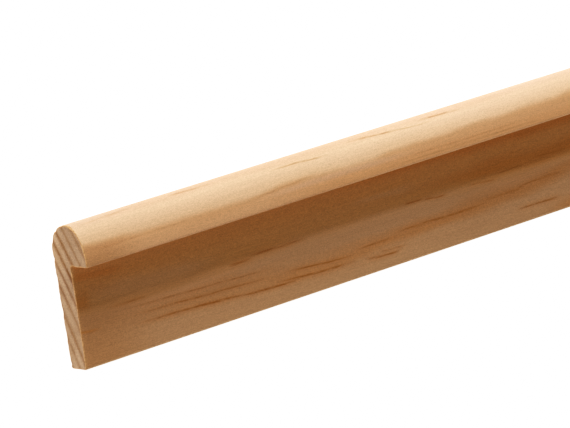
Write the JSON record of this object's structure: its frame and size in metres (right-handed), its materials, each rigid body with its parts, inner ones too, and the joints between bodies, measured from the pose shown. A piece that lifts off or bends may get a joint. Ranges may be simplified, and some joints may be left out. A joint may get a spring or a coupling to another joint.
{
  "type": "hockey stick moulding",
  "caption": "Straight length of planed softwood trim with a thin flat web and a thick rounded nose along one edge, forming a shallow open rebate for the edge of a board.",
  "frame": {"origin": "on the back face, under the middle of the length and of the width", "axes": "+X along the length, from the end shown in the picture to the far end; +Y across the section, from the web's foot to the crown of the nose; +Z from the back face to the front, up as it lies on the floor"},
  "size_m": [2.4, 0.034, 0.012],
  "materials": {
    "pine": "planed and unfinished, with straight grain, darker bands of late wood and sawn end grain"
  },
  "bodies": {
    "root": {"moulding": "pine"}
  },
  "joints": []
}
